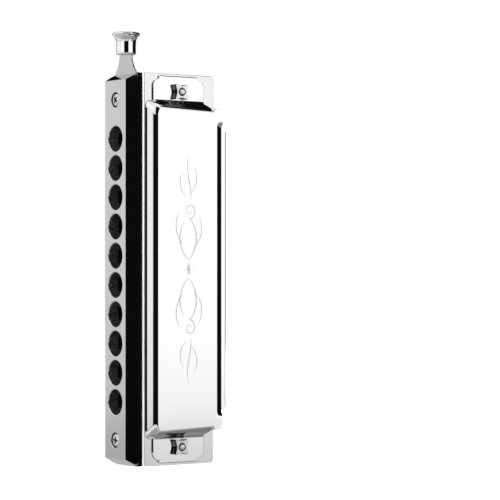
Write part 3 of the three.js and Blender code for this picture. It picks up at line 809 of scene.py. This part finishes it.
for where, z, turn in (("lower", SCREW_Z[0], 24), ("upper", SCREW_Z[1], 51)):
    seat = FACE + TAB + 0.03
    prof = [(0, -seat - 1.25), (0.7, -seat - 1.23), (1.2, -seat - 1.14), (1.6, -seat - 0.96), (1.88, -seat - 0.72), (2.04, -seat - 0.42), (2.1, -seat - 0.16), (2.1, -seat - 0.03), (2.06, -seat), (0.84, -seat), (0.84, 6.0), (0, 6.0)]
    head = turned("cover_screw_head", prof, "x", (SCREW_Y, z), 56)
    boolean(head, cross_cutter("x", -seat - 1.2, 1, (SCREW_Y, z), 1.25, 0.32, 0.62))
    bevel(head, 0.05, 2, 40)
    baked(head)
    shank = thread("shank", 6.05, FACE + TAB + 1.7 + 0.46, SCREW_Y, z, 0.85)
    obj = joined(f"cover_screw_{where}_detailed", [head, shank])
    spin(obj, "x", (SCREW_Y, z), turn)
    shade(obj, 34)
    dress(obj, BODY, "fastener_steel", SCREW, FASTENER_SHADE, stands_for=(f"cover_screw_{where}",))
    # painted shade in the cross recess of the head
    paint_shade_on(obj, lambda c, n: (-seat - 1.1 < c[0] < -seat - 0.3 and math.hypot(c[1] - SCREW_Y, c[2] - z) < 1.28 and abs(n.x) < 0.97) or (-seat - 0.75 < c[0] < -seat - 0.3 and math.hypot(c[1] - SCREW_Y, c[2] - z) < 1.0))

    # square nut with hollowed sides and eased corners
    ring = []
    a, waist = 2.4, 1.86
    for q in range(4):
        t = math.pi / 2 * q
        side_pts = []
        for k in range(-8, 9):
            v = k / 8 * (a - 0.42)
            side_pts.append((waist + (a - waist) * (abs(v) / (a - 0.42)) ** 1.7, v))
        for u, v in side_pts + [(a - 0.12, a - 0.12)]:
            ring.append((SCREW_Y + u * math.cos(t) - v * math.sin(t), z + u * math.sin(t) + v * math.cos(t)))
    nut = prism(f"cover_nut_{where}_detailed", ring, FACE + TAB + 0.03, FACE + TAB + 1.7, "yz")
    boolean(nut, [turned("bore", [(0, 6), (1.35, 6), (1.35, FACE + TAB + 0.25), (1.0, FACE + TAB + 0.5), (1.0, FACE + TAB + 1.35), (1.38, FACE + TAB + 1.75), (1.38, 12), (0, 12)], "x", (SCREW_Y, z), 40)])
    bevel(nut, 0.13, 3, 40)
    baked(nut)
    shade(nut, 34)
    dress(nut, BODY, "fastener_steel", SCREW, FASTENER_SHADE, stands_for=(f"cover_nut_{where}",))
    # painted shade on the nut's sides, which face away from the light
    paint_shade_on(nut, lambda c, n: abs(n.x) < 0.5)

for where, z, turn in (("lower", MOUTH_SCREW_Z[0], 12), ("upper", MOUTH_SCREW_Z[1], 38)):
    face = MOUTH_FRONT + 0.08
    prof = [(0, face), (0.8, face + 0.01), (1.3, face + 0.04), (1.7, face + 0.14), (1.95, face + 0.3), (2.08, face + 0.5), (2.1, face + 0.62), (2.1, face + 0.8), (0.8, face + 0.82), (0.8, 5.0), (0.3, 5.68), (0, 5.7)]
    obj = turned(f"mouthpiece_screw_{where}_detailed", prof, "y", (0, z), 56)
    boolean(obj, cross_cutter("y", face, 1, (0, z), 1.36, 0.36, 0.66))
    bevel(obj, 0.04, 2, 40)
    baked(obj)
    spin(obj, "y", (0, z), turn)
    shade(obj, 34)
    dress(obj, BODY, "fastener_steel", SCREW, FASTENER_SHADE, stands_for=(f"mouthpiece_screw_{where}",))
    # painted shade in the cross recess of the head
    paint_shade_on(obj, lambda c, n: face + 0.1 < c[1] < face + 0.7 and math.hypot(c[0], c[2] - z) < 1.32)

# ------------------------------------------------------------------ return spring
def spring():
    wire, coil, turns = 0.2, 1.05, 6
    cx, cy, z0, z1 = 3.45, 0.75, 3.3, 12.3
    seg, per = 10, 28
    n = turns * per
    verts, faces = [], []
    for k in range(n + 1):
        f = k / n
        a = 2 * math.pi * turns * f
        rise = f + 0.035 * math.sin(2 * math.pi * f) * -1
        centre = Vector((cx + coil * math.cos(a), cy + coil * math.sin(a), z0 + (z1 - z0) * rise))
        out = Vector((math.cos(a), math.sin(a), 0))
        tangent = Vector((-math.sin(a) * coil * 2 * math.pi * turns, math.cos(a) * coil * 2 * math.pi * turns, z1 - z0)).normalized()
        up = tangent.cross(out)
        for i in range(seg):
            t = 2 * math.pi * i / seg
            p = centre + out * (wire * math.cos(t)) + up * (wire * math.sin(t))
            verts.append(P(*p))
    for k in range(n):
        for i in range(seg):
            j = (i + 1) % seg
            faces.append((k * seg + i, (k + 1) * seg + i, (k + 1) * seg + j, k * seg + j))
    faces.append(tuple(range(seg)))
    faces.append(tuple(n * seg + i for i in reversed(range(seg))))
    obj = mesh_object("return_spring", verts, faces)
    shade(obj, 50, weighted=False)
    dress(obj, BODY, "spring_steel", SPRING, stands_for=("slide_spring",))
    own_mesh(obj)
    return obj


spring()

# ------------------------------------------------------------------ rivets and wind savers
def dome(name, s, x, y, z, r, h, segments=20):
    """A low domed rivet head standing on a face at x, pointing away from the middle plane for s * out."""
    prof = [(r, x), (r, x + s * h * 0.35), (r * 0.88, x + s * h * 0.66), (r * 0.62, x + s * h * 0.88), (r * 0.3, x + s * h * 0.98), (0, x + s * h)]
    prof = [(0, x)] + prof
    return turned(name, prof, "x", (y, z), segments)


for side, s in (("top", -1), ("bottom", 1)):
    rivets, valves, inner = [], [], []
    for k, hz in enumerate(HOLE_Z):
        zb, zd = hz + REED_OFF, hz - REED_OFF
        blow, draw = reed_length(2 * k), reed_length(2 * k + 1)
        rivets.append(dome("r", s, s * (FACE + 0.5), DRAW_ROOT - 1.55, zd, 0.62, 0.26))
        rivets.append(dome("r", s, s * (FACE + 0.005), BLOW_ROOT + 1.55, zb, 0.66, 0.2))
        inner.append(dome("r", -s, s * (INNER - 0.5), BLOW_ROOT + 1.55, zb, 0.62, 0.24))
        # wind saver over the blow slot, on the outer face, glued near the rivet, its free end lifted a little
        length = blow + 0.9
        y_root, steps = BLOW_ROOT + 0.55, 8
        v, f = [], []
        curl = 0.16 + 0.1 * random.random()
        for i in range(steps + 1):
            t = i / steps
            y = y_root - length * t
            lift = 0.02 + curl * t ** 2.2
            for zz in (-1.32, 1.32):
                taper = 1 - 0.12 * ramp(0.9, 1.0, t)
                v.append(P(s * (FACE + lift), y, zb + zz * taper))
            for zz in (-1.32, 1.32):
                taper = 1 - 0.12 * ramp(0.9, 1.0, t)
                v.append(P(s * (FACE + lift + 0.09), y, zb + zz * taper))
        for i in range(steps):
            a = 4 * i
            b = a + 4
            f += [(a, b, b + 1, a + 1), (a + 2, a + 3, b + 3, b + 2), (a, a + 2, b + 2, b), (a + 1, b + 1, b + 3, a + 3)]
        f += [(0, 1, 3, 2), (4 * steps, 4 * steps + 2, 4 * steps + 3, 4 * steps + 1)]
        valves.append(mesh_object("v", v, f))
    obj = joined(side + "_reed_rivets", rivets + inner)
    shade(obj, 40)
    dress(obj, BODY, "reed_brass", BRASS)
    obj = joined(side + "_wind_savers", valves)
    shade(obj, 40, weighted=False)
    dress(obj, BODY, "comb_plastic", FILM)

# ------------------------------------------------------------------ reed plates
def plate(side, s):
    """The plate with its rim rounded and its sheared edges left satin."""
    name = side + "_reed_plate"
    obj = link(bpy.data.objects.new(name + "_finished", nodes[name].data.copy()))

    def rim(a, b):
        near = lambda p: min(p[1], DEPTH - p[1], p[2], L - p[2]) < 1.05
        return near(a) and near(b) and abs(abs(a[0]) - FACE) < 0.01 and abs(abs(b[0]) - FACE) < 0.01

    round_edges(obj, 0.14, 3, rim, 40)
    shade(obj, 34)
    dress(obj, BODY, "reed_plate_metal", PLATE, PLATE_EDGE, stands_for=(name,))
    for poly in obj.data.polygons:
        c = poly.center
        y, z = c.y / MM - OFF, c.z / MM
        if min(y, DEPTH - y, z, L - z) < 0.02 and abs(poly.normal.x) < 0.3:
            poly.material_index = 1


for side, s in (("top", -1), ("bottom", 1)):
    plate(side, s)

# ------------------------------------------------------------------ carried-over CAD pieces
for name, o in nodes.items():
    if o.hide_render:
        continue
    o.data.materials.clear()
    if name == "comb":
        o.data.materials.append(COMB)
        bevel(o, 0.14, 3, 50)
    elif name == "slide_back_plate":
        # painted shade: the back plate, seen only through the ports, gets the near-black material
        o.data.materials.append(PAINTED_SHADE)
    else:
        o.data.materials.append(BRASS)
        bevel(o, 0.03, 1, 50)
    m = o.modifiers.new("weighted", "WEIGHTED_NORMAL")
    m.keep_sharp, m.weight = True, 100

# ------------------------------------------------------------------ hole numbers and etched ornament
SLOPE = 0.1296
FACE_ANGLE = math.atan(SLOPE)


def on_cover(s, y, z, up=0.0):
    """A point on the flat of a cover, lifted by up along its normal."""
    h = 3.38 + SLOPE * (y - 2.95)
    n = Vector((1, -SLOPE)).normalized()
    return P(s * (FACE + h + n.x * up), y + n.y * up, z)


def ribbon(paths, s, name):
    """Etched strokes as thin strips lying on the cover: each path is [(y, z, width), ...]."""
    verts, faces = [], []
    for path in paths:
        pts = [Vector((p[0], p[1])) for p in path]
        base = len(verts)
        n = len(pts)
        for i, p in enumerate(pts):
            a = pts[max(i - 1, 0)]
            b = pts[min(i + 1, n - 1)]
            t = (b - a)
            t = t.normalized() if t.length > 1e-9 else Vector((1, 0))
            side_v = Vector((-t.y, t.x)) * path[i][2] / 2
            for q, up in ((p - side_v, 0.012), (p + side_v, 0.012), (p + side_v, -0.02), (p - side_v, -0.02)):
                verts.append(on_cover(s, q.x, q.y, up))
        for i in range(n - 1):
            a, b = base + 4 * i, base + 4 * i + 4
            for j in range(4):
                k = (j + 1) % 4
                faces.append((a + j, a + k, b + k, b + j))
        faces.append((base, base + 3, base + 2, base + 1))
        e = base + 4 * (n - 1)
        faces.append((e, e + 1, e + 2, e + 3))
    obj = mesh_object(name, verts, faces)
    shade(obj, 30, weighted=False)
    dress(obj, BODY, "cover_chrome", ETCH)
    return obj


def spiral(cy, cz, r0, r1, a0, a1, w0, w1, steps=40):
    out = []
    for i in range(steps + 1):
        t = i / steps
        a = math.radians(a0 + (a1 - a0) * t)
        r = r0 + (r1 - r0) * t
        out.append((cy + r * math.cos(a), cz + r * math.sin(a), w0 + (w1 - w0) * t))
    return out


def bezier(p0, p1, p2, p3, w0, wm, w1, steps=30):
    out = []
    for i in range(steps + 1):
        t = i / steps
        q = [(1 - t) ** 3 * p0[k] + 3 * (1 - t) ** 2 * t * p1[k] + 3 * (1 - t) * t * t * p2[k] + t ** 3 * p3[k] for k in (0, 1)]
        w = w0 * (1 - t) ** 2 + 2 * wm * t * (1 - t) * 1.2 + w1 * t * t
        out.append((q[0], q[1], max(w, 0.05)))
    return out


def ornament(cy, cz):
    """A generic scroll: leaves and spirals mirrored about a small diamond."""
    paths = []
    for m in (1, -1):
        z = lambda v: cz + m * v
        paths.append(bezier((cy, z(2.2)), (cy + 3.4, z(5.0)), (cy + 3.6, z(10.5)), (cy + 0.2, z(12.6)), 0.12, 0.55, 0.16))
        paths.append([(y, cz + m * (zz - cz), w) for y, zz, w in spiral(cy + 0.35, cz + 14.6, 2.05, 0.35, -92, -92 + 470, 0.3, 0.12, 60)])
        paths.append(bezier((cy, z(2.2)), (cy - 3.2, z(4.4)), (cy - 4.0, z(9.0)), (cy - 1.6, z(11.6)), 0.12, 0.5, 0.1))
        paths.append(bezier((cy + 1.7, z(5.6)), (cy + 4.6, z(7.0)), (cy + 5.2, z(10.4)), (cy + 3.6, z(13.2)), 0.08, 0.42, 0.08))
        paths.append(bezier((cy - 1.9, z(6.2)), (cy - 4.9, z(8.4)), (cy - 4.9, z(12.0)), (cy - 3.2, z(14.4)), 0.08, 0.42, 0.08))
        paths.append(bezier((cy + 0.6, z(17.2)), (cy + 1.6, z(20.5)), (cy - 1.4, z(23.5)), (cy, z(28.5)), 0.1, 0.46, 0.06))
        paths.append(bezier((cy - 0.5, z(17.6)), (cy - 3.4, z(19.6)), (cy - 3.6, z(22.6)), (cy - 1.7, z(24.6)), 0.08, 0.38, 0.06))
        paths.append(bezier((cy + 0.6, z(19.0)), (cy + 3.2, z(20.6)), (cy + 3.4, z(23.6)), (cy + 1.8, z(26.0)), 0.08, 0.38, 0.06))
    d = 1.15
    paths.append([(cy, cz - 1.7, 0.05), (cy, cz, d), (cy, cz + 1.7, 0.05)])
    paths.append([(cy - d - 0.6, cz - 0.02, 0.3), (cy - d - 0.2, cz, 0.3)])
    paths.append([(cy + d + 0.2, cz, 0.3), (cy + d + 0.6, cz + 0.02, 0.3)])
    return paths


def stretched(paths, cz, k):
    return [[(y, cz + (z - cz) * k, w * 1.15) for y, z, w in path] for path in paths]


ribbon(stretched(ornament(13.4, 61.0), 61.0, 1.25), 1, "bottom_cover_etched_scroll")
ribbon(stretched(ornament(14.8, 61.0), 61.0, 1.25), -1, "top_cover_etched_scroll")


def numbers():
    """Hole numbers 1 to 10 along the player's edge of the top cover, reading away from the mouth."""
    parts = []
    for k, hz in enumerate(HOLE_Z):
        curve = bpy.data.curves.new("n", "FONT")
        curve.body = str(k + 1)
        curve.size = 2.9
        curve.align_x = "CENTER"
        curve.align_y = "CENTER"
        curve.extrude = 0.016
        curve.resolution_u = 6
        tmp = link(bpy.data.objects.new("n", curve))
        bpy.context.view_layer.update()
        me = bpy.data.meshes.new_from_object(tmp.evaluated_get(bpy.context.evaluated_depsgraph_get()))
        bpy.data.objects.remove(tmp)
        o = link(bpy.data.objects.new("n", me))
        for v in me.vertices:
            u, up, out = v.co.x, v.co.y, v.co.z
            y = 5.7 + up * math.cos(FACE_ANGLE)
            v.co = on_cover(-1, y, hz + u, out - 0.004)
        parts.append(o)
    obj = joined("top_cover_hole_numbers", parts)
    shade(obj, 30, weighted=False)
    dress(obj, BODY, "cover_chrome", ETCH)


numbers()

# ------------------------------------------------------------------ studio
def studio():
    world = bpy.data.worlds.new("studio")
    bpy.context.scene.world = world
    world.use_nodes = True
    nt = world.node_tree
    nt.nodes.clear()
    out = nt.nodes.new("ShaderNodeOutputWorld")
    tc = nt.nodes.new("ShaderNodeTexCoord")
    sep = nt.nodes.new("ShaderNodeSeparateXYZ")
    nt.links.new(tc.outputs["Generated"], sep.inputs[0])

    def math_node(op, a, b=None):
        n = nt.nodes.new("ShaderNodeMath")
        n.operation = op
        for i, v in enumerate((a, b)):
            if v is None:
                continue
            if isinstance(v, (int, float)):
                n.inputs[i].default_value = v
            else:
                nt.links.new(v, n.inputs[i])
        return n.outputs[0]

    def ramp_node(fac, stops):
        n = nt.nodes.new("ShaderNodeValToRGB")
        n.color_ramp.interpolation = "LINEAR"
        els = n.color_ramp.elements
        while len(els) > 1:
            els.remove(els[-1])
        els[0].position, els[0].color = stops[0][0], (stops[0][1],) * 3 + (1,)
        for p, v in stops[1:]:
            e = els.new(p)
            e.color = (v, v, v, 1)
        nt.links.new(fac, n.inputs[0])
        return n.outputs[0]

    # direction round the vertical, 0 to 1 for -180 to 180 degrees from +X, and its height
    turn = math_node("ADD", math_node("DIVIDE", math_node("ARCTAN2", sep.outputs["Y"], sep.outputs["X"]), 2 * math.pi), 0.5)
    height = math_node("ADD", math_node("MULTIPLY", sep.outputs["Z"], 0.5), 0.5)
    deg = lambda d: (d + 180) / 360
    up = lambda e: 0.5 + 0.5 * math.sin(math.radians(e))
    BLACK = 0.004

    def blend(fac, a, b):
        n = nt.nodes.new("ShaderNodeMix")
        n.data_type = "FLOAT"
        nt.links.new(fac, n.inputs[0])
        for i, v in ((2, a), (3, b)):
            if isinstance(v, (int, float)):
                n.inputs[i].default_value = v
            else:
                nt.links.new(v, n.inputs[i])
        return n.outputs[0]

    step = lambda e0, e1: ramp_node(height, [(0.0, 0.0), (up(e0), 0.0), (up(e1), 1.0), (1.0, 1.0)])
    # tall strip lights and dark flags round the table, at eye level
    level = ramp_node(turn, [
        (0.0, 0.72), (deg(-158), 0.77), (deg(-148), 0.77), (deg(-140), 0.79), (deg(-132), 0.9), (deg(-86), 0.80), (deg(-82), BLACK),
        (deg(14.6), BLACK), (deg(16.6), 1.0), (deg(47), 1.0), (deg(51), BLACK), (deg(178.6), BLACK), (1.0, 0.72)])
    # above eye level: the same flags, then an overhead light with one dark flag behind
    middle = ramp_node(turn, [
        (0.0, 0.72), (deg(-100), 0.8), (deg(-61), 0.8), (deg(-57), BLACK), (deg(12), BLACK), (deg(16), 0.85), (deg(30), 0.8), (deg(35), BLACK), (deg(158), BLACK), (deg(170), 0.7), (1.0, 0.72)])
    high = ramp_node(turn, [
        (0.0, 0.72), (deg(-100), 0.8), (deg(20), 0.8), (deg(30), 0.8), (deg(35), BLACK), (deg(158), BLACK), (deg(170), 0.7), (1.0, 0.72)])
    table_near = ramp_node(turn, [
        (0.0, 0.5), (deg(-100), 0.42), (deg(-60), 0.30), (deg(20), 0.34), (deg(60), 0.18), (deg(142), 0.17), (deg(148), 0.5), (1.0, 0.5)])
    table_far = ramp_node(turn, [
        (0.0, 0.78), (deg(-100), 0.78), (deg(-60), 0.66), (deg(-35), 0.55), (deg(8), 0.6), (deg(15), 0.78), (deg(24), 0.78),
        (deg(32), 0.26), (deg(140), 0.22), (deg(146), 0.78), (1.0, 0.78)])
    shade_low = ramp_node(height, [(0.0, 0.5), (up(-7), 0.5), (up(-6), 0.56), (up(-4.5), 0.69), (up(-3.97), 0.77), (up(-3.6), 0.86), (up(-2.1), 0.95), (up(0), 1.0), (1.0, 1.0)])
    strips = blend(step(-23, -19), table_near, table_far)
    strips = blend(step(-10, -7), strips, math_node("MULTIPLY", level, shade_low))
    strips = blend(step(6.6, 8.6), strips, middle)
    strips = blend(step(46, 50), strips, high)
    strips = blend(step(60, 68), strips, 0.85)
    value = math_node("MULTIPLY", strips, 1.12)
    glossy = nt.nodes.new("ShaderNodeBackground")
    nt.links.new(value, glossy.inputs["Color"])
    plain = nt.nodes.new("ShaderNodeBackground")
    plain.inputs["Color"].default_value = (1, 1, 1, 1)
    plain.inputs["Strength"].default_value = 1.0
    path = nt.nodes.new("ShaderNodeLightPath")
    mix = nt.nodes.new("ShaderNodeMixShader")
    nt.links.new(path.outputs["Is Camera Ray"], mix.inputs[0])
    nt.links.new(glossy.outputs[0], mix.inputs[1])
    nt.links.new(plain.outputs[0], mix.inputs[2])
    nt.links.new(mix.outputs[0], out.inputs["Surface"])

    # two small curved light cards at the height of the button, seen only in its reflection
    cx, cy = 0.0, (KNOB_Y + OFF) * MM
    card = bpy.data.materials.new("light_card")
    card.use_nodes = True
    card.node_tree.nodes.clear()
    glow = card.node_tree.nodes.new("ShaderNodeEmission")
    glow.inputs["Color"].default_value = (1, 1, 1, 1)
    glow.inputs["Strength"].default_value = 1.05
    sink = card.node_tree.nodes.new("ShaderNodeOutputMaterial")
    card.node_tree.links.new(glow.outputs[0], sink.inputs["Surface"])
    for n, (a0, a1) in enumerate(((-86, -54), (-4, 16))):
        steps, verts, faces = 12, [], []
        for i in range(steps + 1):
            a = math.radians(a0 + (a1 - a0) * i / steps)
            for z in (125.0, 143.0):
                verts.append((cx + 0.05 * math.cos(a), cy + 0.05 * math.sin(a), z * MM))
        faces = [(2 * i, 2 * i + 1, 2 * i + 3, 2 * i + 2) for i in range(steps)]
        o = mesh_object(f"light_card_{n + 1}", verts, faces)
        o.data.materials.append(card)
        o.visible_camera = o.visible_diffuse = o.visible_shadow = o.visible_transmission = False

    # pale floor
    size = 3.0
    floor = mesh_object("floor", [(-size, -size, -0.00002), (size, -size, -0.00002), (size, size, -0.00002), (-size, size, -0.00002)], [(0, 1, 2, 3)])
    m = bpy.data.materials.new("pale_floor")
    m.use_nodes = True
    b = m.node_tree.nodes["Principled BSDF"]
    b.inputs["Base Color"].default_value = (0.86, 0.86, 0.86, 1)
    b.inputs["Roughness"].default_value = 0.9
    b.inputs["Emission Color"].default_value = (1, 1, 1, 1)
    b.inputs["Emission Strength"].default_value = 0.6
    floor.data.materials.append(m)
    floor.visible_glossy = False

    def area(name, at, to, size_x, size_y, power):
        light = bpy.data.lights.new(name, "AREA")
        light.shape, light.size, light.size_y, light.energy = "RECTANGLE", size_x, size_y, power
        o = link(bpy.data.objects.new(name, light))
        o.location = at
        o.rotation_euler = (Vector(to) - Vector(at)).to_track_quat("-Z", "Y").to_euler()
        o.visible_glossy = False
        return o

    target = (0, 0, 0.06)
    area("soft_key", (0.45, -0.75, 0.45), target, 0.6, 0.6, 9.0)
    area("soft_back", (-0.5, 0.75, 0.5), target, 0.6, 0.6, 8.0)
    area("soft_top", (0.0, 0.0, 1.0), target, 0.8, 0.8, 3.0)


def camera():
    az, dist, f_px = math.radians(56.09), 0.7006, 2221.7
    centre = Vector(P(0, 12.0, 61.0))
    back = Vector((math.sin(az), -math.cos(az), 0))
    cam = bpy.data.cameras.new("camera")
    cam.sensor_width = 36.0
    cam.lens = f_px * 36.0 / 500.0
    cam.clip_start, cam.clip_end = 0.01, 20
    o = link(bpy.data.objects.new("camera", cam))
    o.location = centre + back * dist
    forward = -back
    right = Vector((math.cos(az), math.sin(az), 0))
    # the instrument stands left of the middle of the picture and a little low
    aim = forward + right * ((250 - 163.9) / f_px) + Vector((0, 0, (269.3 - 250) / f_px))
    o.rotation_euler = aim.to_track_quat("-Z", "Y").to_euler()
    bpy.context.scene.camera = o


studio()
camera()
bpy.context.scene.view_settings.view_transform = "Standard"
bpy.context.scene.view_settings.look = "None"
